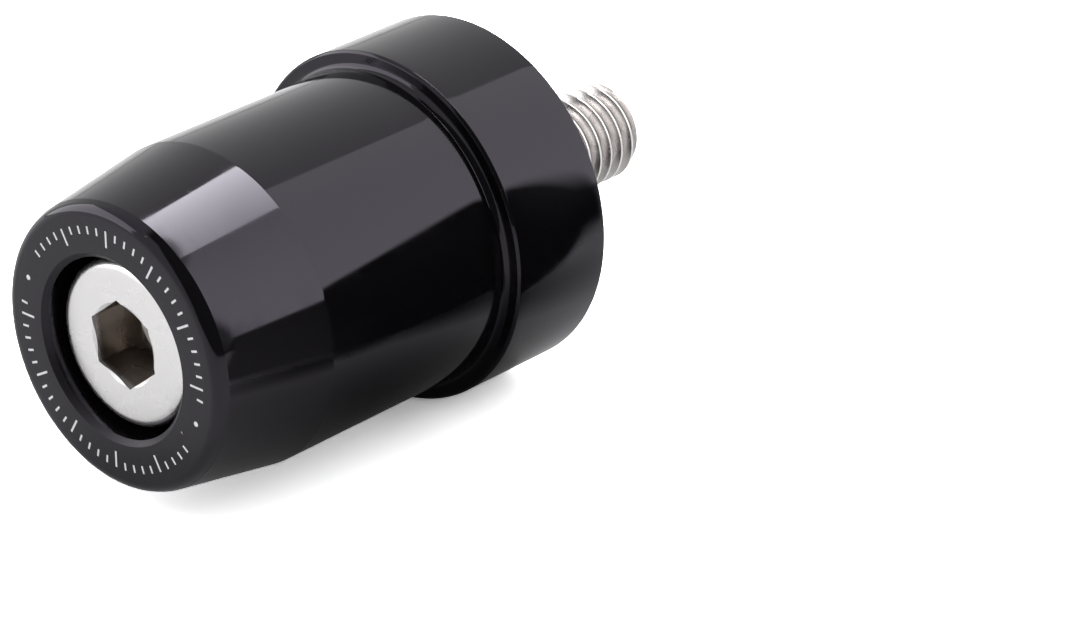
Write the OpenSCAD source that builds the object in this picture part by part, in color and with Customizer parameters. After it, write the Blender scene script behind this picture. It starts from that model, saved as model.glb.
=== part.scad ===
// Bar end weight: a turned weight held in the end of a handlebar by a recessed socket cap screw.
// The turning axis lies along Y: the front face looks towards -Y, and the threaded end stands out towards +Y.
// The origin is on the axis, in the plane of the rear face that seats against the bar's end.

/* [Weight] */
// Length from the front face to the rear face
weight_l = 38; // [34:0.5:60]
// Diameter of the straight barrel
barrel_d = 25.2; // [23:0.1:27]
// Diameter of the cone where it meets the front face, before its edge is rounded
front_d = 22.1; // [20:0.1:22.6]
// Length of the cone, from the front face to the barrel
taper_l = 10; // [4:0.5:16]
// Radius of the rounded front edge
front_edge_r = 0.9; // [0.3:0.1:1.5]

/* [Collar] */
// Diameter of the collar at the rear
collar_d = 28; // [27.6:0.1:34]
// Length of the collar
collar_l = 9.7; // [6:0.1:14]
// Radius of the hollow fillet between the barrel and the collar
shoulder_r = 0.8; // [0.2:0.1:0.9]
// Chamfer on the collar's front edge
collar_front_chamfer = 0.2; // [0.1:0.05:0.3]
// Chamfer on the collar's rear edge
collar_rear_chamfer = 0.15; // [0.1:0.05:0.3]

/* [Bores] */
// Gap all round the screw's head in its counterbore
head_clearance = 0.5; // [0.2:0.05:1]
// Chamfer at the counterbore's mouth
mouth_chamfer = 0.4; // [0.1:0.1:0.8]
// Gap all round the thread in the bore behind the head
bore_clearance = 0.2; // [0.2:0.05:0.6]
// Chamfer where the clearance bore opens in the rear face
rear_mouth_chamfer = 0.5; // [0.2:0.1:1]

/* [Cap screw] */
// Outer diameter of the thread
thread_d = 8; // [7:0.1:8.4]
// Length of the threaded end that stands out of the rear face
stud_l = 16.2; // [10:0.2:40]
// How much the plain shank's radius falls short of the thread's
shank_relief = 0.4; // [0.3:0.05:0.8]
// Diameter of the head
head_d = 13; // [12:0.1:14]
// Height of the head
head_h = 8; // [6:0.1:9]
// How deep the head's face lies behind the front face
head_recess = 1.2; // [0.5:0.1:4]
// Radius of the head's rounded top edge
head_edge_r = 0.8; // [0.2:0.1:1]
// Radius of the small fillet under the head
neck_r = 0.2; // [0.1:0.05:0.25]
// Width of the hexagon socket across its flats
hex_af = 6; // [5:0.1:6.2]
// Depth of the hexagon's flat walls
hex_depth = 4.5; // [3:0.1:5]
// Included angle of the drilled point at the socket's floor
drill_angle = 118; // [90:1:130]
// Diameter of the shallow countersink at the socket's mouth
socket_mouth_d = 7; // [6.9:0.1:8]
// Included angle of the shallow countersink
socket_mouth_angle = 120; // [90:1:130]
// How far the socket is turned about the axis
socket_turn = 39; // [0:1:59]
// Length of the cone at the thread's tip
tip_l = 0.9; // [0.4:0.1:1.5]
// Diameter of the flat end of the thread's tip
tip_d = 6.3; // [5:0.1:6.8]

/* [Hidden] */
$fn = 96;
barrel_r = barrel_d / 2;
collar_r = collar_d / 2;
head_r = head_d / 2;
thread_r = thread_d / 2;
shank_r = thread_r - shank_relief;
counterbore_r = head_r + head_clearance;
bore_r = thread_r + bore_clearance;
collar_front = weight_l - collar_l; // station of the collar's front face
fillet_r = min(shoulder_r, collar_r - barrel_r - collar_front_chamfer); // no wider than the collar's face
head_seat = head_recess + head_h; // station of the counterbore's floor
shank_end = weight_l; // the plain shank ends in the plane of the rear face
screw_end = weight_l + stud_l;
taper_angle = atan((barrel_d - front_d) / 2 / taper_l);
// Centre and ends of the arc that rounds the front edge: it touches the flat face and the cone
edge_cx = front_d / 2 + front_edge_r * tan(taper_angle) - front_edge_r / cos(taper_angle);
edge_touch = [edge_cx + front_edge_r * cos(taper_angle), front_edge_r * (1 - sin(taper_angle))];
hex_corner_r = hex_af / 2 / cos(30);
drill_h = hex_af / 2 / tan(drill_angle / 2);
socket_mouth_h = socket_mouth_d / 2 / tan(socket_mouth_angle / 2);
cut = 1; // how far a cutting shape runs past the face that it opens

// Places a piece drawn along Z, front face at zero, on the turning axis
module on_axis() {
    translate([0, -weight_l, 0]) rotate([-90, 0, 0]) children();
}

// Half section of the outside of the weight: radius along X, distance behind the front face along Y
module weight_outline() {
    polygon([
        [0, 0],
        [edge_cx, 0],
        edge_touch,
        [barrel_r, taper_l],
        [barrel_r, collar_front],
        [collar_r - collar_front_chamfer, collar_front],
        [collar_r, collar_front + collar_front_chamfer],
        [collar_r, weight_l - collar_rear_chamfer],
        [collar_r - collar_rear_chamfer, weight_l],
        [0, weight_l],
    ]);
    translate([edge_cx, front_edge_r]) circle(r = front_edge_r);
    shoulder_fillet();
}

// The hollow quarter round that carries the barrel out to the collar's face
module shoulder_fillet() {
    difference() {
        translate([barrel_r - cut, collar_front - fillet_r]) square([fillet_r + cut, fillet_r + cut]);
        translate([barrel_r + fillet_r, collar_front - fillet_r]) circle(r = fillet_r);
    }
}

// Half section of everything bored out of the weight
module weight_bores() {
    polygon([
        [0, -cut],
        [counterbore_r + mouth_chamfer + cut, -cut],
        [counterbore_r, mouth_chamfer],
        [counterbore_r, head_seat],
        [bore_r, head_seat],
        [bore_r, weight_l - rear_mouth_chamfer],
        [bore_r + rear_mouth_chamfer + cut, weight_l + cut],
        [0, weight_l + cut],
    ]);
}

module weight_body() {
    color([0.05, 0.05, 0.06]) on_axis() rotate_extrude() difference() {
        weight_outline();
        weight_bores();
    }
}

// Half section of the screw: the head's face first, then the shank and the threaded end
module screw_outline() {
    polygon([
        [0, head_recess],
        [head_r - head_edge_r, head_recess],
        [head_r, head_recess + head_edge_r],
        [head_r, head_seat],
        [shank_r, head_seat],
        [shank_r, shank_end],
        [thread_r, shank_end],
        [thread_r, screw_end - tip_l],
        [tip_d / 2, screw_end],
        [0, screw_end],
    ]);
    translate([head_r - head_edge_r, head_recess + head_edge_r]) circle(r = head_edge_r);
    neck_fillet();
}

// The small fillet between the shank and the underside of the head
module neck_fillet() {
    difference() {
        translate([shank_r - cut, head_seat - cut]) square([neck_r + cut, neck_r + cut]);
        translate([shank_r + neck_r, head_seat + neck_r]) circle(r = neck_r);
    }
}

// The key's socket: six flat walls, a drilled point below them and a shallow countersink at the mouth
module socket() {
    translate([0, 0, head_recess - cut]) rotate([0, 0, -socket_turn])
        cylinder(r = hex_corner_r, h = hex_depth + cut, $fn = 6);
    translate([0, 0, head_recess + hex_depth]) cylinder(r1 = hex_af / 2, r2 = 0, h = drill_h);
    translate([0, 0, head_recess]) cylinder(r1 = socket_mouth_d / 2, r2 = 0, h = socket_mouth_h);
}

module cap_screw() {
    color([0.84, 0.83, 0.82]) on_axis() difference() {
        rotate_extrude() screw_outline();
        socket();
    }
}

weight_body();
cap_screw();
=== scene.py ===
import math

import bmesh
import bpy
import numpy as np
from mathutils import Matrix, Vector


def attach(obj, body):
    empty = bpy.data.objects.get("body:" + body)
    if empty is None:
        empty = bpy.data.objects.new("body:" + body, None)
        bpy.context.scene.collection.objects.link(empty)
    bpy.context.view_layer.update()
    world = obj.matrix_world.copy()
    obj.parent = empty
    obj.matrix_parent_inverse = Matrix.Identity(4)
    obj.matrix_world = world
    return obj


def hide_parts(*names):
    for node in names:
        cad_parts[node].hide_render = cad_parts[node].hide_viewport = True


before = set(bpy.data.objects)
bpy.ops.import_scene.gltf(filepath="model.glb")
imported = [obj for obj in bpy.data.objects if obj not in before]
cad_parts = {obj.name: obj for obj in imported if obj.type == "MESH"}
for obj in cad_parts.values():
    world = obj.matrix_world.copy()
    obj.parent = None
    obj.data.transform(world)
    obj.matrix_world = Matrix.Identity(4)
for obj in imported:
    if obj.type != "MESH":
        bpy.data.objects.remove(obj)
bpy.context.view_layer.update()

scene = bpy.context.scene
mergeWithin = 2e-7  # metres between points that count as one


# Half sections are (radius, station) in millimetres, and a station counts back from the front face

def roundedPath(corners, steps=8):
    # Polyline through corners of (radius, station, rounding); each rounded corner becomes an arc that
    # touches both sides, starting at rounding / tan(half the corner's angle) before the corner
    points = []
    for index, (x, y, rounding) in enumerate(corners):
        here = np.array([x, y], dtype=float)
        if rounding <= 0 or index in (0, len(corners) - 1):
            points.append(here[None])
            continue
        before = np.array(corners[index - 1][:2]) - here
        after = np.array(corners[index + 1][:2]) - here
        before /= np.linalg.norm(before)
        after /= np.linalg.norm(after)
        half = math.acos(np.clip(before @ after, -1, 1)) / 2
        middle = before + after
        centre = here + middle / np.linalg.norm(middle) * rounding / math.sin(half)
        start = here + before * rounding / math.tan(half) - centre
        end = here + after * rounding / math.tan(half) - centre
        share = np.linspace(0, 1, steps + 1)[:, None]
        spread = math.pi - 2 * half
        arc = (np.sin((1 - share) * spread) * start + np.sin(share * spread) * end) / math.sin(spread)
        points.append(centre + arc)
    return np.concatenate(points)


def filledPath(path, longest):
    # Adds points to long straight stretches: each is cut into equal steps no longer than given
    lengths = np.linalg.norm(np.diff(path, axis=0), axis=1)
    along = np.concatenate([[0], np.cumsum(lengths)])
    counts = np.maximum(1, np.ceil(lengths / longest)).astype(int)
    places = np.repeat(along[:-1], counts)
    within = np.arange(len(places)) - np.repeat(np.cumsum(counts) - counts, counts)
    places = np.append(places + within * np.repeat(lengths / counts, counts), along[-1])
    return np.stack([np.interp(places, along, path[:, k]) for k in (0, 1)], axis=1)


def turned(radii, stations, angles):
    # Grid of points on the turning axis: x = radius cos(angle), z = radius sin(angle), y = station - length
    radii, stations, angles = np.broadcast_arrays(radii, stations, angles)
    y = stations - weight["length"]
    return np.stack([radii * np.cos(angles), y, radii * np.sin(angles)], axis=-1) / 1000


def meshFrom(name, grids, sharpest):
    # One closed mesh from grids of points; equal points along seams, rings and poles are merged
    points, faces, first = [], [], 0
    for grid in grids:
        rows, columns = grid.shape[:2]
        index = first + np.arange(rows * columns).reshape(rows, columns)
        quads = np.stack([index[:-1, :-1], index[:-1, 1:], index[1:, 1:], index[1:, :-1]], axis=-1)
        points.append(grid.reshape(-1, 3))
        faces.append(quads.reshape(-1, 4))
        first += rows * columns
    mesh = bpy.data.meshes.new(name)
    mesh.from_pydata(np.concatenate(points).tolist(), [], np.concatenate(faces).tolist())
    work = bmesh.new()
    work.from_mesh(mesh)
    bmesh.ops.remove_doubles(work, verts=work.verts, dist=mergeWithin)
    bmesh.ops.recalc_face_normals(work, faces=work.faces)
    work.to_mesh(mesh)
    work.free()
    mesh.shade_smooth()
    mesh.set_sharp_from_angle(angle=math.radians(sharpest))
    piece = bpy.data.objects.new(name, mesh)
    scene.collection.objects.link(piece)
    print(name, len(mesh.polygons), "faces")
    return piece


def put(tree, kind, values=(), **settings):
    # A node with its settings; another node's output is linked to an input, a plain value is set on it
    made = tree.nodes.new("ShaderNode" + kind)
    for key, value in settings.items():
        setattr(made, key, value)
    for socket, value in dict(values).items():
        if isinstance(value, bpy.types.NodeSocket):
            tree.links.new(value, made.inputs[socket])
        else:
            made.inputs[socket].default_value = value
    return made


def sums(tree, operation, *values):
    return put(tree, "Math", enumerate(values), operation=operation).outputs[0]


def product(tree, first, *others):
    for other in others:
        first = sums(tree, "MULTIPLY", first, other)
    return first


def hypotenuse(tree, a, b):
    squares = sums(tree, "ADD", sums(tree, "POWER", a, 2.0), sums(tree, "POWER", b, 2.0))
    return sums(tree, "SQRT", squares)


def ramp(tree, value, low, high, toLow=0.0, toHigh=1.0):
    # Smooth step from toLow to toHigh as the value goes from low to high
    places = {"Value": value, "From Min": low, "From Max": high, "To Min": toLow, "To Max": toHigh}
    return put(tree, "MapRange", places, interpolation_type="SMOOTHSTEP").outputs[0]


def fall(tree, value, low, high):
    # Smooth step down from 1 to 0
    return ramp(tree, value, low, high, 1.0, 0.0)


def blendColours(tree, share, first, second):
    return put(tree, "Mix", {0: share, 6: first, 7: second}, data_type="RGBA").outputs[2]


def objectPoint(tree):
    return put(tree, "TexCoord").outputs["Object"]


def noise(tree, point, scale, detail):
    return put(tree, "TexNoise", {"Vector": point, "Scale": scale, "Detail": detail}).outputs[0]


def newGroup(name, inputs, outputs):
    tree = bpy.data.node_groups.new(name, "ShaderNodeTree")
    for label, value in inputs:
        socket = tree.interface.new_socket(label, in_out="INPUT", socket_type="NodeSocketFloat")
        socket.default_value = value
    for label in outputs:
        tree.interface.new_socket(label, in_out="OUTPUT", socket_type="NodeSocketFloat")
    return tree, tree.nodes.new("NodeGroupInput"), tree.nodes.new("NodeGroupOutput")


def useGroup(tree, group, values=()):
    return put(tree, "Group", values, node_tree=group).outputs


def emptyMaterial(name):
    material = bpy.data.materials.new(name)
    material.use_nodes = True
    material.node_tree.nodes.clear()
    return material, material.node_tree


def showSurface(tree, shader):
    output = put(tree, "OutputMaterial")
    tree.links.new(shader.outputs[0], output.inputs["Surface"])


# Where a point lies about the turning axis, in millimetres: distance from it, turn about it and station
def makeAxisPlace():
    tree, _, output = newGroup("axisPlace", [], ["Radius", "Turn", "Station"])
    x, y, z = put(tree, "SeparateXYZ", {0: objectPoint(tree)}).outputs
    tree.links.new(product(tree, hypotenuse(tree, x, z), 1000.0), output.inputs["Radius"])
    tree.links.new(sums(tree, "ARCTAN2", z, x), output.inputs["Turn"])
    tree.links.new(sums(tree, "MULTIPLY_ADD", y, 1000.0, weight["length"]), output.inputs["Station"])
    return tree


toolMarks = {
    "ringDetail": 3.0,
    "glossScale": 260.0,
    "glossDetail": 4.0,
    "glossRange": (0.35, 0.7),  # of the noise, from polished to dull
}


# Fine rings left by the turning tool: a height for bump and a slow variation for gloss
def makeTurningMarks(m):
    tree, given, output = newGroup("turningMarks", [("Rings per mm", 12.0)], ["Height", "Gloss"])
    place = useGroup(tree, axisPlace)
    ring = product(tree, sums(tree, "ADD", place["Station"], place["Radius"]), given.outputs[0])
    rings = {"W": ring, "Scale": 1.0, "Detail": m["ringDetail"]}
    fine = put(tree, "TexNoise", rings, noise_dimensions="1D").outputs[0]
    broad = noise(tree, objectPoint(tree), m["glossScale"], m["glossDetail"])
    tree.links.new(fine, output.inputs["Height"])
    tree.links.new(ramp(tree, broad, *m["glossRange"]), output.inputs["Gloss"])
    return tree


# How near a point is to a ring about the axis: 1 on the ring, fading to 0 at the given reach
def makeNearRing():
    inputs = [("Ring radius", 1.0), ("Ring station", 0.0), ("Reach", 0.3)]
    tree, given, output = newGroup("nearRing", inputs, ["Share"])
    place = useGroup(tree, axisPlace)
    outward = sums(tree, "SUBTRACT", place["Radius"], given.outputs["Ring radius"])
    behind = sums(tree, "SUBTRACT", place["Station"], given.outputs["Ring station"])
    far = sums(tree, "DIVIDE", hypotenuse(tree, outward, behind), given.outputs["Reach"])
    tree.links.new(fall(tree, far, 0.0, 1.0), output.inputs["Share"])
    return tree


scratchMarks = {
    "perTurn": 3.0,  # how much finer they are along the axis than around it
    "bendScale": 0.6,
    "lineScale": 9.0,
    "lineDetail": 2.0,
    "lineWidth": 0.004,  # of the noise's range
    "patchScale": 1.1,
    "patchRange": (0.58, 0.68),  # of the noise; above it there are scratches
}


# Short scratches that run mostly round the axis, as handling leaves them
def makeHandling(m):
    tree, given, output = newGroup("handling", [("Amount", 0.5)], ["Scratch"])
    place = useGroup(tree, axisPlace)
    parts = {0: product(tree, place["Turn"], m["perTurn"]), 1: place["Station"], 2: place["Radius"]}
    spot = put(tree, "CombineXYZ", parts).outputs[0]
    bend = put(tree, "TexNoise", {"Vector": spot, "Scale": m["bendScale"]}).outputs["Color"]
    spot = put(tree, "VectorMath", {0: spot, 1: bend}, operation="ADD").outputs[0]
    lines = noise(tree, spot, m["lineScale"], m["lineDetail"])
    thin = fall(tree, sums(tree, "ABSOLUTE", sums(tree, "SUBTRACT", lines, 0.5)), 0.0, m["lineWidth"])
    where = ramp(tree, noise(tree, spot, m["patchScale"], 1.0), *m["patchRange"])
    tree.links.new(product(tree, thin, where, given.outputs["Amount"]), output.inputs["Scratch"])
    return tree


# The camera stands at the photograph's viewing angle, 345 mm from the origin
cameraSettings = {
    "place": (0.2135, -0.2300, 0.1426),
    "turn": 41.872,  # degrees about Z
    "down": 26.14,  # degrees below the horizon
    "lens": 148.05,  # mm
    "sensor": 36,  # mm wide
    "clip": (0.02, 20),
}

camera = bpy.data.objects.new("camera", bpy.data.cameras.new("camera"))
camera.location = cameraSettings["place"]
camera.rotation_euler = (math.radians(90 - cameraSettings["down"]), 0, math.radians(cameraSettings["turn"]))
camera.data.lens = cameraSettings["lens"]
camera.data.sensor_width = cameraSettings["sensor"]
camera.data.clip_start, camera.data.clip_end = cameraSettings["clip"]
scene.collection.objects.link(camera)
scene.camera = camera
print("camera ready")


# The turned weight
weight = {
    "length": 38.0,
    "segments": 384,
    "longestStep": 1.2,
    "sharpest": 24,  # degrees; a sharper turn keeps its edge
    "edgeLine": 10.813,  # where the rounded edge's last slope would meet the plane of the front face
    "edgeRounding": 0.9,
    "crease": (11.197, 0.95),  # where that slope breaks into the cone
    "creaseRounding": 0.15,
    "coneEnd": 10.0,
    "coneRounding": 1.0,
    "barrel": 12.6,
    "collarStart": 28.3,
    "shoulder": 0.6,  # hollow fillet between barrel and collar
    "collar": 14.0,
    "frontChamfer": 0.2,  # of the collar
    "frontRoundings": (0.1, 0.16),
    "rearChamfer": 0.15,
    "counterbore": 7.0,
    "mouthChamfer": 0.4,
    "seat": 9.2,
    "seatRoundings": (0.1, 0.3),
    "bore": 4.2,
    "boreChamfer": 0.5,
    "edge": 0.05,  # rounding of the small turned edges
}


def weightPath(w):
    # The whole half section, from the flat front face over the outside and back through both bores:
    # straight sides between the corners, with an arc at each corner
    e = w["edge"]
    barrel, collar, start, end = w["barrel"], w["collar"], w["collarStart"], w["length"]
    frontChamfer, rearChamfer = w["frontChamfer"], w["rearChamfer"]
    counterbore, bore = w["counterbore"], w["bore"]
    mouth = counterbore + w["mouthChamfer"]
    onFace = (mouth + 1, 0, 0)  # the path starts and ends on the flat face
    corners = [
        onFace,
        (w["edgeLine"], 0, w["edgeRounding"]),
        (*w["crease"], w["creaseRounding"]),
        (barrel, w["coneEnd"], w["coneRounding"]),
        (barrel, start, w["shoulder"]),
        (collar - frontChamfer, start, w["frontRoundings"][0]),
        (collar, start + frontChamfer, w["frontRoundings"][1]),
        (collar, end - rearChamfer, e),
        (collar - rearChamfer, end, e),
        (bore + w["boreChamfer"], end, e),
        (bore, end - w["boreChamfer"], e),
        (bore, w["seat"], w["seatRoundings"][0]),
        (counterbore, w["seat"], w["seatRoundings"][1]),
        (counterbore, w["mouthChamfer"], e),
        (mouth, 0, e),
        onFace,
    ]
    return filledPath(roundedPath(corners), w["longestStep"])


path = weightPath(weight)
around = np.linspace(0, 2 * math.pi, weight["segments"] + 1)
weightGrid = turned(path[:, :1], path[:, 1:], around[None])
turnedWeight = meshFrom("turnedWeight", [weightGrid], weight["sharpest"])


# The socket cap screw
screw = {
    "segments": 192,  # a multiple of six, so that the socket's corners fall on points
    "sharpest": 28,  # degrees
    "drillRows": 9,
    "wallRows": 7,
    "longestStep": 1.5,
    "tipStep": 0.6,
    "face": 1.2,  # station of the head's face
    "head": 6.5,
    "headEdge": 0.8,
    "seat": 9.2,
    "seatEdge": 0.12,
    "shank": 3.6,
    "neck": 0.2,
    "flat": 3.0,  # from the axis to the hexagon's flats
    "socketTurn": 39.0,  # degrees from +X towards +Z to a corner of the hexagon
    "wallEnd": 5.7,
    "drillEnd": 7.5026,
    "socketMouth": 3.25,  # radius of the shallow countersink between the corners
    "mouthAngle": 60,  # degrees between the countersink and the axis
    "socketRim": 3.5,  # where the flat face takes over from the socket
    "pitch": 1.25,
    "crest": 4.0,
    "offsets": (0, 0.06, 0.095, 0.12, 0.26, 0.40, 0.47, 0.53, 0.625),  # along the axis from the crest
    "radii": (4.0, 4.0, 3.985, 3.93, 3.685, 3.442, 3.325, 3.262, 3.233),  # of the thread there
    "threadStart": 36.75,  # station where the thread runs out into the shank
    "threadFull": 38.0,
    "threadPhase": 0.65,  # pitches that the helix is shifted along the axis
    "tipStart": 53.3,
    "end": 54.2,
    "tip": 3.15,
    "tipInner": 1.5,
}


def socketGrid(s, angles):
    # Drilled point, hexagon walls and countersink. The hexagon's radius at an angle is the distance of
    # its flats divided by the cosine of the angle from the middle of the flat.
    justOver = 1e-9  # keeps a corner's own angle from wrapping to the flat before it
    fromCorner = np.mod(angles - math.radians(s["socketTurn"]) + justOver, math.pi / 3)
    hexagon = s["flat"] / np.cos(fromCorner - math.pi / 6)
    mouth = np.maximum(s["socketMouth"], hexagon)
    brim = s["face"] + (mouth - hexagon) / math.tan(math.radians(s["mouthAngle"]))
    share = np.linspace(0, 1, s["drillRows"])[:, None]
    drillRadii = s["flat"] * share + 0 * hexagon
    drillStations = s["drillEnd"] + (s["wallEnd"] - s["drillEnd"]) * share + 0 * hexagon
    share = np.linspace(0, 1, s["wallRows"])[:, None]
    wallRadii = hexagon + 0 * share
    wallStations = s["wallEnd"] + (brim - s["wallEnd"]) * share
    rim = s["socketRim"] + 0 * hexagon
    radii = np.vstack([drillRadii, wallRadii, mouth[None], rim[None]])
    stations = np.vstack([drillStations, wallStations, s["face"] + 0 * np.stack([mouth, rim])])
    return turned(radii, stations, angles[None])


def headGrid(s, angles):
    # The head's face, rounded edge, side and underside, and the shank: one half section, turned
    corners = [
        (s["socketRim"], s["face"], 0),
        (s["head"], s["face"], s["headEdge"]),
        (s["head"], s["seat"], s["seatEdge"]),
        (s["shank"], s["seat"], s["neck"]),
        (s["shank"], s["threadStart"], 0),
    ]
    path = filledPath(roundedPath(corners, 10), s["longestStep"])
    return turned(path[:, :1], path[:, 1:], angles[None])


def threadGrid(s, angles):
    # Rows of points follow the right-hand helix: station = row - pitch * angle / full turn, cut off at
    # both ends. The radius comes from the distance to the crest; flanks stand 30 degrees off square.
    offsets, radii = np.array(s["offsets"]), np.array(s["radii"])
    across = np.concatenate([-offsets[-2:0:-1], offsets])
    first, last = s["threadStart"] - s["pitch"], s["end"] + 2 * s["pitch"]
    crests = np.arange(first, last, s["pitch"])
    rows = (crests[:, None] + across).reshape(-1, 1) + s["threadPhase"] * s["pitch"]
    full = np.tile(np.interp(np.abs(across), offsets, radii), len(crests))[:, None]
    stations = rows - s["pitch"] * (angles[None] - angles[0]) / (2 * math.pi)
    stations = np.clip(stations, s["threadStart"], s["end"])
    grown = np.clip((stations - s["threadStart"]) / (s["threadFull"] - s["threadStart"]), 0, 1)
    grown = grown * grown * (3 - 2 * grown)  # smooth step from the shank to the full thread
    slope = (s["crest"] - s["tip"]) / (s["end"] - s["tipStart"])
    tipCone = s["crest"] - slope * (stations - s["tipStart"])
    return turned(np.minimum(s["shank"] + (full - s["shank"]) * grown, tipCone), stations, angles[None])


def tipGrid(s, angles):
    # The flat end of the thread: rings of falling radius at one station
    corners = [(s["tip"], s["end"], 0), (s["tipInner"], s["end"], 0), (0, s["end"], 0)]
    path = filledPath(roundedPath(corners), s["tipStep"])
    return turned(path[:, :1], path[:, 1:], angles[None])


angles = np.linspace(0, 2 * math.pi, screw["segments"] + 1) + math.radians(screw["socketTurn"])
grids = [make(screw, angles) for make in (socketGrid, headGrid, threadGrid, tipGrid)]
socketScrew = meshFrom("socketScrew", grids, screw["sharpest"])


# Finishes
axisPlace = makeAxisPlace()
turningMarks = makeTurningMarks(toolMarks)
nearRing = makeNearRing()
handling = makeHandling(scratchMarks)

black = {
    "dye": (0.0018, 0.0016, 0.0020, 1),
    "ior": 1.4,
    "tint": (0.9, 0.84, 1.0, 1),
    "roughness": (0.055, 0.095),
    "mouthRoughness": 0.45,  # of the chamfer at the counterbore's mouth
    "mouthWithin": (7.42, 0.42),  # radius and station
    "ringsPerMm": 11.0,
    "ringHeight": 0.35,
    "scratches": 0.6,
    "scratchRoughness": 0.12,
    "bare": (0.42, 0.41, 0.42, 1),
    "wornEdges": ((13.93, 28.4), (13.93, 37.93), (7.25, 0.15), (10.9, 0.2)),  # radius and station
    "wornReach": 0.16,
    "wornMost": 0.6,
    "nickScale": 1500.0,
    "nickRange": (0.68, 0.78),  # of the noise, from covered to worn through
    "markWhite": (0.60, 0.60, 0.62, 1),
    "markRoughness": 0.55,
    "markDepth": 4.0,
    "markBlur": 0.03,
    "faceDepth": 0.02,  # how far behind the front face's plane the marks still show
    "marks": 60,  # graduation marks in a full turn
    "longEvery": 5,
    "markInner": 8.15,
    "markOuter": 9.45,
    "shortInner": 8.85,
    "markHalfWidth": 0.085,
    "dotRadius": 9.1,
    "dotSize": 0.2,
    "dotTurns": (160.0, -19.0),
    "dotRoom": 12.0,  # degrees kept free of marks on each side of a dot
    "bump": (0.25, 2e-6),  # strength and distance
}


def graduations(tree, place, b):
    # A generic ring of graduation marks with two dots, etched into the front face
    blur = b["markBlur"]
    turn = product(tree, place["Turn"], b["marks"] / (2 * math.pi))
    turn = sums(tree, "ADD", turn, 1000.5)  # kept positive, with a mark in the middle of each step
    fromLine = sums(tree, "ABSOLUTE", sums(tree, "SUBTRACT", sums(tree, "FRACT", turn), 0.5))
    across = product(tree, fromLine, product(tree, place["Radius"], 2 * math.pi / b["marks"]))
    line = fall(tree, across, b["markHalfWidth"] - blur, b["markHalfWidth"] + blur)
    number = sums(tree, "MODULO", sums(tree, "FLOOR", turn), float(b["longEvery"]))
    isLong = sums(tree, "LESS_THAN", number, 0.5)
    inner = sums(tree, "MULTIPLY_ADD", isLong, b["markInner"] - b["shortInner"], b["shortInner"])
    inside = sums(tree, "GREATER_THAN", place["Radius"], inner)
    outside = sums(tree, "LESS_THAN", place["Radius"], b["markOuter"])
    mask = product(tree, inside, outside, line)
    across = product(tree, place["Radius"], sums(tree, "COSINE", place["Turn"]))
    up = product(tree, place["Radius"], sums(tree, "SINE", place["Turn"]))
    for angle in np.radians(b["dotTurns"]).tolist():
        dx = sums(tree, "SUBTRACT", across, b["dotRadius"] * math.cos(angle))
        dz = sums(tree, "SUBTRACT", up, b["dotRadius"] * math.sin(angle))
        far = hypotenuse(tree, dx, dz)
        room = b["dotRadius"] * math.radians(b["dotRoom"])
        mask = product(tree, mask, sums(tree, "GREATER_THAN", far, room))
        mask = sums(tree, "MAXIMUM", mask, fall(tree, far, b["dotSize"] - blur, b["dotSize"] + blur))
    onFace = sums(tree, "LESS_THAN", place["Station"], b["faceDepth"])
    return product(tree, mask, onFace)


def makeBlack(b):
    material, tree = emptyMaterial("blackAnodised")
    shader = put(tree, "BsdfPrincipled", {"IOR": b["ior"], "Specular Tint": b["tint"]})
    showSurface(tree, shader)
    place = useGroup(tree, axisPlace)
    marks = useGroup(tree, turningMarks, {"Rings per mm": b["ringsPerMm"]})
    scratch = useGroup(tree, handling, {"Amount": b["scratches"]})["Scratch"]
    etched = graduations(tree, place, b)
    worn = 0.0
    for radius, station in b["wornEdges"]:
        ring = {"Ring radius": radius, "Ring station": station, "Reach": b["wornReach"]}
        worn = sums(tree, "MAXIMUM", worn, useGroup(tree, nearRing, ring)["Share"])
    nicks = noise(tree, objectPoint(tree), b["nickScale"], 3.0)
    worn = product(tree, worn, ramp(tree, nicks, *b["nickRange"], 0.0, b["wornMost"]))
    colour = blendColours(tree, worn, b["dye"], b["bare"])
    colour = blendColours(tree, etched, colour, b["markWhite"])
    tree.links.new(colour, shader.inputs["Base Color"])
    mouthRadius, mouthStation = b["mouthWithin"]
    onMouth = product(tree, sums(tree, "LESS_THAN", place["Radius"], mouthRadius),
                      sums(tree, "LESS_THAN", place["Station"], mouthStation))
    rough = ramp(tree, marks["Gloss"], 0.0, 1.0, *b["roughness"])
    rough = sums(tree, "MULTIPLY_ADD", scratch, b["scratchRoughness"], rough)
    rough = sums(tree, "MAXIMUM", rough, product(tree, etched, b["markRoughness"]))
    rough = sums(tree, "MAXIMUM", rough, product(tree, onMouth, b["mouthRoughness"]))
    tree.links.new(rough, shader.inputs["Roughness"])
    height = product(tree, marks["Height"], b["ringHeight"])
    height = sums(tree, "SUBTRACT", height, product(tree, etched, b["markDepth"]))
    height = sums(tree, "SUBTRACT", height, scratch)
    bump = put(tree, "Bump", {"Height": height, "Strength": b["bump"][0], "Distance": b["bump"][1]})
    tree.links.new(bump.outputs[0], shader.inputs["Normal"])
    return material


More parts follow.
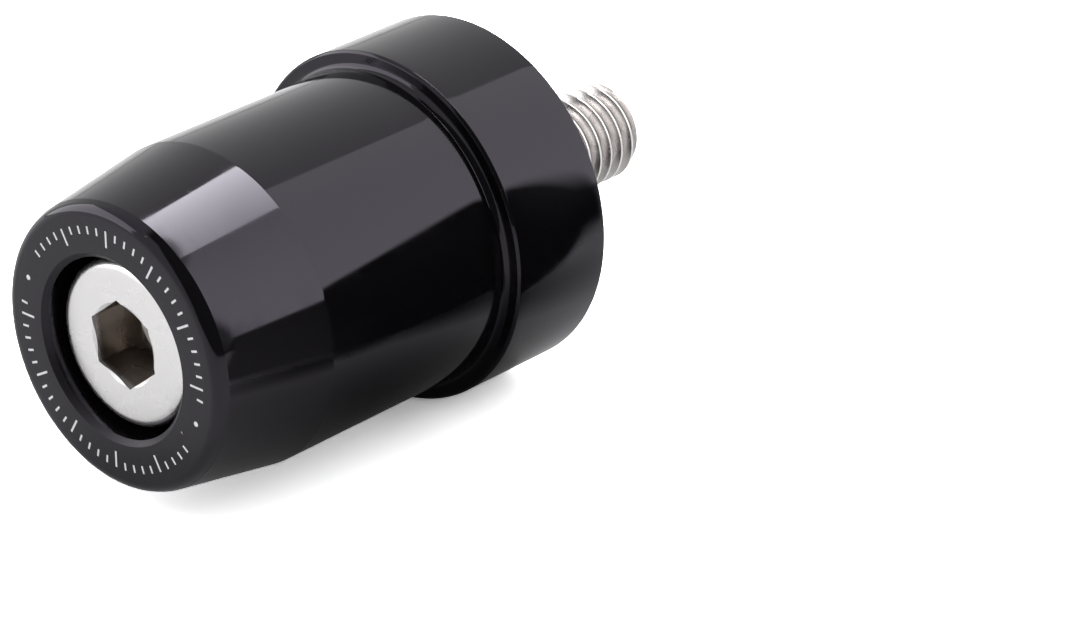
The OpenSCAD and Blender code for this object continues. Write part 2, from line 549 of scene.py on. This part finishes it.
steel = {
    "clean": (0.68, 0.67, 0.67, 1),
    "thread": (0.64, 0.615, 0.605, 1),
    # Painted shade: a dark brown laid into the socket and the thread roots, where shade falls
    "paintedShadeBrown": (0.22, 0.185, 0.155, 1),
    "socketPaintedShade": 0.95,
    "rootPaintedShade": 0.3,
    "faceRoughness": 0.26,
    "threadRoughness": 0.24,
    "cloudRoughness": 0.06,  # added where the turning marks are dull
    "rootRoughness": 0.05,
    "mouthRoughness": 0.25,
    "ringsPerMm": 7.0,
    "ringHeight": 0.6,
    "cloudScale": 700.0,
    "cloudHeight": 0.5,
    "scratches": 1.0,
    "threadBump": 0.15,  # share of the bump that the rolled thread keeps
    "bump": (0.4, 4e-6),  # strength and distance
    # Where each mask begins and ends, in millimetres from the axis or behind the front face
    "socketRadius": (3.45, 3.75),
    "socketBegins": (1.4, 1.9),
    "socketEnds": (20.0, 21.0),
    "drillPoint": (5.6, 5.75),
    # less painted shade at the socket's drilled point
    "drillPaintedShade": 0.55,
    "mouthRadius": (3.47, 3.52),
    "mouthBegins": (1.2, 1.21),
    "mouthEnds": (1.45, 1.5),
    "threadBegins": (35.0, 36.0),
    "rootRadius": (3.25, 3.6),
    "rootEnds": (54.0, 54.19),
    "patchy": (0.2, 0.6, 0.85, 1.0),  # range of the noise, and the painted shade's share at its ends
}


def makeSteel(s):
    material, tree = emptyMaterial("stainlessSteel")
    shader = put(tree, "BsdfPrincipled", {"Metallic": 1.0})
    showSurface(tree, shader)
    place = useGroup(tree, axisPlace)
    radius, station = place["Radius"], place["Station"]
    marks = useGroup(tree, turningMarks, {"Rings per mm": s["ringsPerMm"]})
    scratch = useGroup(tree, handling, {"Amount": s["scratches"]})["Scratch"]
    cloud = noise(tree, objectPoint(tree), s["cloudScale"], 5.0)
    inSocket = product(tree, fall(tree, radius, *s["socketRadius"]),
                       ramp(tree, station, *s["socketBegins"]), fall(tree, station, *s["socketEnds"]),
                       ramp(tree, station, *s["drillPoint"], 1.0, s["drillPaintedShade"]))
    inMouth = product(tree, fall(tree, radius, *s["mouthRadius"]), ramp(tree, station, *s["mouthBegins"]),
                      fall(tree, station, *s["mouthEnds"]))
    onThread = ramp(tree, station, *s["threadBegins"])
    root = product(tree, fall(tree, radius, *s["rootRadius"]), onThread,
                   fall(tree, station, *s["rootEnds"]))
    # Painted shade: the socket and the thread roots darken towards the brown, patchy with the cloud noise
    # and lighter at the drilled point
    socketShadeShare, rootShadeShare = product(tree, inSocket, s["socketPaintedShade"]), product(tree, root, s["rootPaintedShade"])
    paintedShadeShare = product(tree, sums(tree, "MAXIMUM", socketShadeShare, rootShadeShare), ramp(tree, cloud, *s["patchy"]))
    metal = blendColours(tree, onThread, s["clean"], s["thread"])
    tree.links.new(blendColours(tree, paintedShadeShare, metal, s["paintedShadeBrown"]), shader.inputs["Base Color"])
    face, thread = s["faceRoughness"], s["threadRoughness"]
    rough = sums(tree, "MULTIPLY_ADD", onThread, thread - face, face)
    rough = sums(tree, "ADD", rough, ramp(tree, marks["Gloss"], 0.0, 1.0, 0.0, s["cloudRoughness"]))
    rough = sums(tree, "MULTIPLY_ADD", root, s["rootRoughness"], rough)
    rough = sums(tree, "MULTIPLY_ADD", inMouth, s["mouthRoughness"], rough)
    tree.links.new(rough, shader.inputs["Roughness"])
    height = product(tree, cloud, s["cloudHeight"])
    height = sums(tree, "MULTIPLY_ADD", marks["Height"], s["ringHeight"], height)
    height = sums(tree, "SUBTRACT", height, scratch)
    height = product(tree, height, sums(tree, "MULTIPLY_ADD", onThread, s["threadBump"] - 1.0, 1.0))
    bump = put(tree, "Bump", {"Height": height, "Strength": s["bump"][0], "Distance": s["bump"][1]})
    tree.links.new(bump.outputs[0], shader.inputs["Normal"])
    return material


turnedWeight.data.materials.append(makeBlack(black))
socketScrew.data.materials.append(makeSteel(steel))
for piece, node, slotName in (
    (turnedWeight, "weight_body", "black_anodised"),
    (socketScrew, "cap_screw", "stainless"),
):
    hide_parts(node)
    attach(piece, "root")
print("finishes and bodies ready")


# Floor, soft boxes and world, in metres
studio = {
    "floor": -0.014,  # height
    "floorHalf": 4.0,
    "floorAlbedo": (0.72, 0.72, 0.725, 1),
    "floorSeen": (2.25, 2.25, 2.26, 1),  # colour for camera rays, so that the shadow fades out into white
    "floorGlow": 0.08,  # for camera rays
    "floorGlowInGloss": 0.1,  # share of that glow which gloss and glass see
    "worldSeen": 1.0,
    "worldFill": 0.8,
    "darkBegins": (60, 66),  # degrees from +Y towards +X where the world turns dark for gloss
    "darkEnds": (168, 179),
    "darkTop": (0.95, 0.985),  # upward part of the direction where that sector ends
    "overheadUp": (0.93, 0.96),  # the dark patch overhead: upward part and +X part of the direction
    "overheadAcross": (-0.2, -0.08),
    "darkDepth": 0.9,
}
# Each soft box is a flat glowing panel: middle, direction that it faces, width, height, and its strength
# at the two ends of its width
panels = {
    "sideBox": ((0.5, 0.35, 0.485), (0, -1, 0), 1.0, 0.93, (3.3, 2.1)),
    "topBox": ((-0.014, 0.285, 0.60), (0, 0, -1), 0.428, 0.17, (15.5, 8.0)),
    "keyBox": ((-0.478, -0.299, 0.215), (0.797, 0.498, -0.342), 0.64, 0.42, (3.6, 3.6)),
}


def flatPiece(name, corners, material, faces=((0, 1, 2, 3),)):
    mesh = bpy.data.meshes.new(name)
    mesh.from_pydata([tuple(float(v) for v in corner) for corner in corners], [], faces)
    mesh.materials.append(material)
    made = bpy.data.objects.new(name, mesh)
    scene.collection.objects.link(made)
    return made


def squareCorners(x, y, half, height):
    return [(x + a * half, y + b * half, height) for a, b in ((-1, -1), (1, -1), (1, 1), (-1, 1))]


def softBox(name, middle, facing, width, height, strengths):
    facing = Vector(facing).normalized()
    facesDown = abs(facing.z) > 0.99
    across = (Vector((-1, 0, 0)) if facesDown else Vector((0, 0, 1)).cross(facing)).normalized()
    up = facing.cross(across)
    middle, half, tall = Vector(middle), across * width / 2, up * height / 2
    material, tree = emptyMaterial(name)
    ends = {0: objectPoint(tree), 1: across}
    along = put(tree, "VectorMath", ends, operation="DOT_PRODUCT").outputs["Value"]
    centre = middle.dot(across)
    places = {"Value": along, "From Min": centre + width / 2, "From Max": centre - width / 2,
              "To Min": strengths[0], "To Max": strengths[1]}
    showSurface(tree, put(tree, "Emission", {"Strength": put(tree, "MapRange", places).outputs[0]}))
    corners = [middle - half - tall, middle + half - tall, middle + half + tall, middle - half + tall]
    box = flatPiece(name, corners, material)
    box.visible_camera = False
    box.visible_shadow = False


for name, settings in panels.items():
    softBox(name, *settings)


def makeFloorMaterial(s):
    material, tree = emptyMaterial("floorWhite")
    rays = put(tree, "LightPath").outputs
    colour = blendColours(tree, rays["Is Camera Ray"], s["floorAlbedo"], s["floorSeen"])
    diffuse = put(tree, "BsdfDiffuse", {"Color": colour})
    inGloss = sums(tree, "MAXIMUM", rays["Is Glossy Ray"], rays["Is Transmission Ray"])
    seen = sums(tree, "MAXIMUM", rays["Is Camera Ray"], product(tree, inGloss, s["floorGlowInGloss"]))
    glow = put(tree, "Emission", {"Strength": product(tree, seen, s["floorGlow"])})
    showSurface(tree, put(tree, "AddShader", {0: diffuse.outputs[0], 1: glow.outputs[0]}))
    return material


floorCorners = squareCorners(0, 0, studio["floorHalf"], studio["floor"])
flatPiece("floor", floorCorners, makeFloorMaterial(studio))

# A dark card at the right, seen only in the gloss. Each point is (outward, sideways, height) in
# millimetres from the axis, outward at the given degrees from +Y towards +X
card = {
    "towards": 48.0,
    "foot": ((27, 7.6, -5.5), (27, 9.6, -7.5), (26, 11.5, -13.9),
             (15, 25, -13.9), (16, 38, -13.9), (20, 50, -13.9)),
    "top": ((27, 7.6, 7), (27, 10.2, 13), (27, 14, 15.6),
            (27, 22, 14.4), (27, 38, 10.6), (27, 50, 10.4)),
    "steps": 40,
    "endFade": 0.08,
    "frontGrey": 0.3,
    "frontGreyY": (-0.026, -0.006),  # metres
    # The rest are shares of the card's length, from its rear end, and of its height, from its foot
    "rearGrey": 0.14,
    "rearGreyAlong": (0.3, 0.5),
    "rearGreyUp": (0.35, 0.9),
    "footFade": (0.02, 0.12),
    "footFadeAlong": (0.45, 0.7),
    "rearFootFade": 0.28,  # added to it at the rear
    "rearFootAlong": (0.3, 0.42),
    "topFade": (0.58, 0.93),
    "topFadeAlong": (0.2, 0.45),
}


def smoothLine(points, count):
    # Even steps through the points, each stretch bent by the slopes at its two ends (cubic Hermite)
    points = np.array(points, dtype=float)
    slopes = np.gradient(points, axis=0)
    place = np.linspace(0, len(points) - 1, count)
    index = np.minimum(place.astype(int), len(points) - 2)
    t = (place - index)[:, None]
    first, last = points[index], points[index + 1]
    bend = t * (1 - t) ** 2 * slopes[index] - t * t * (1 - t) * slopes[index + 1]
    return first + (last - first) * t * t * (3 - 2 * t) + bend


def makeCardMaterial(c):
    # Black, a little lighter at its front end and at its rear top, and fading out at its foot, top and end
    material, tree = emptyMaterial("cardBlack")
    y = put(tree, "SeparateXYZ", {0: objectPoint(tree)}).outputs[1]
    uv = put(tree, "TexCoord").outputs["UV"]
    along, up, _ = put(tree, "SeparateXYZ", {0: uv}).outputs
    rearGrey = ramp(tree, up, *c["rearGreyUp"], 0.0, c["rearGrey"])
    rearGrey = product(tree, fall(tree, along, *c["rearGreyAlong"]), rearGrey)
    grey = sums(tree, "ADD", ramp(tree, y, *c["frontGreyY"], c["frontGrey"], 0.0), rearGrey)
    footFade = ramp(tree, along, *c["footFadeAlong"], *c["footFade"])
    atRear = fall(tree, along, *c["rearFootAlong"])
    footFade = sums(tree, "MULTIPLY_ADD", atRear, c["rearFootFade"], footFade)
    topFade = ramp(tree, along, *c["topFadeAlong"], *c["topFade"])
    solid = product(tree, ramp(tree, up, 0.0, footFade), fall(tree, up, topFade, 1.0),
                    ramp(tree, along, 0.0, c["endFade"]))
    clear, dark = put(tree, "BsdfTransparent"), put(tree, "Emission", {"Strength": grey})
    showSurface(tree, put(tree, "MixShader", {0: solid, 1: clear.outputs[0], 2: dark.outputs[0]}))
    return material


def makeCard(c):
    # Two smooth lines, foot and top, joined by upright strips; the UV map runs along it and up it
    turn, steps = math.radians(c["towards"]), c["steps"]
    out = np.array([math.sin(turn), math.cos(turn), 0])
    side = np.array([math.cos(turn), -math.sin(turn), 0])
    line = np.concatenate([smoothLine(c[key], steps) for key in ("foot", "top")]) / 1000
    corners = line[:, :1] * out + line[:, 1:2] * side + line[:, 2:] * np.array([0, 0, 1])
    strips = [(i, i + 1, i + 1 + steps, i + steps) for i in range(steps - 1)]
    made = flatPiece("blackCard", corners, makeCardMaterial(c), strips)
    share = np.tile(np.linspace(0, 1, steps), 2)
    layer = made.data.uv_layers.new(name="across")
    for loop in made.data.loops:
        layer.data[loop.index].uv = (share[loop.vertex_index], float(loop.vertex_index >= steps))
    return made


# Shade on the floor at the right, seen only in the gloss: a sheet that is dark about a few spots
shade = {
    "middle": (0.012, -0.0185),
    "half": 0.06,
    "aboveFloor": 0.0002,
    "spots": (  # middle, reach and density
        ((0.012, -0.0155), 0.034, 0.88),
        ((0.030, -0.006), 0.013, 0.9),
        ((0.0285, 0.001), 0.021, 1.0),
        ((0.036, -0.017), 0.017, 0.9),
    ),
}


def makeShadeMaterial(s, height):
    material, tree = emptyMaterial("shade")
    place = objectPoint(tree)
    share = 0.0
    for middle, reach, density in s["spots"]:
        ends = {0: place, 1: (*middle, height)}
        far = put(tree, "VectorMath", ends, operation="DISTANCE").outputs["Value"]
        share = sums(tree, "MAXIMUM", share, ramp(tree, far, 0.0, reach, density, 0.0))
    clear, dark = put(tree, "BsdfTransparent"), put(tree, "BsdfDiffuse", {"Color": (0, 0, 0, 1)})
    showSurface(tree, put(tree, "MixShader", {0: share, 1: clear.outputs[0], 2: dark.outputs[0]}))
    return material


sheetHeight = studio["floor"] + shade["aboveFloor"]
sheetCorners = squareCorners(*shade["middle"], shade["half"], sheetHeight)
shadeSheet = flatPiece("shadeSheet", sheetCorners, makeShadeMaterial(shade, sheetHeight))
for hidden in (makeCard(card), shadeSheet):
    hidden.visible_camera = False
    hidden.visible_diffuse = False
    hidden.visible_shadow = False
    hidden.visible_transmission = False


def makeWorld(s):
    # White, less bright for diffuse rays; gloss sees it dark on the camera's side and overhead
    world = bpy.data.worlds.new("studio")
    world.use_nodes = True
    tree = world.node_tree
    tree.nodes.clear()
    rays = put(tree, "LightPath").outputs
    seen = sums(tree, "MAXIMUM", rays["Is Camera Ray"], rays["Is Glossy Ray"])
    seen = sums(tree, "MAXIMUM", seen, rays["Is Transmission Ray"])
    strength = sums(tree, "MULTIPLY_ADD", seen, s["worldSeen"] - s["worldFill"], s["worldFill"])
    generated = put(tree, "TexCoord").outputs["Generated"]
    x, y, z = put(tree, "SeparateXYZ", {0: generated}).outputs
    azimuth = sums(tree, "ARCTAN2", x, y)
    begins, ends = np.radians([s["darkBegins"], s["darkEnds"]]).tolist()
    sector = product(tree, ramp(tree, azimuth, *begins), fall(tree, azimuth, *ends),
                     fall(tree, z, *s["darkTop"]))
    overhead = product(tree, ramp(tree, z, *s["overheadUp"]), ramp(tree, x, *s["overheadAcross"]))
    dark = product(tree, sums(tree, "MAXIMUM", sector, overhead), rays["Is Glossy Ray"])
    strength = product(tree, strength, sums(tree, "MULTIPLY_ADD", dark, -s["darkDepth"], 1.0))
    sky = put(tree, "Background", {"Color": (1, 1, 1, 1), "Strength": strength})
    tree.links.new(sky.outputs[0], put(tree, "OutputWorld").inputs[0])
    return world


scene.world = makeWorld(studio)
scene.view_settings.view_transform = "Standard"
print("studio ready")
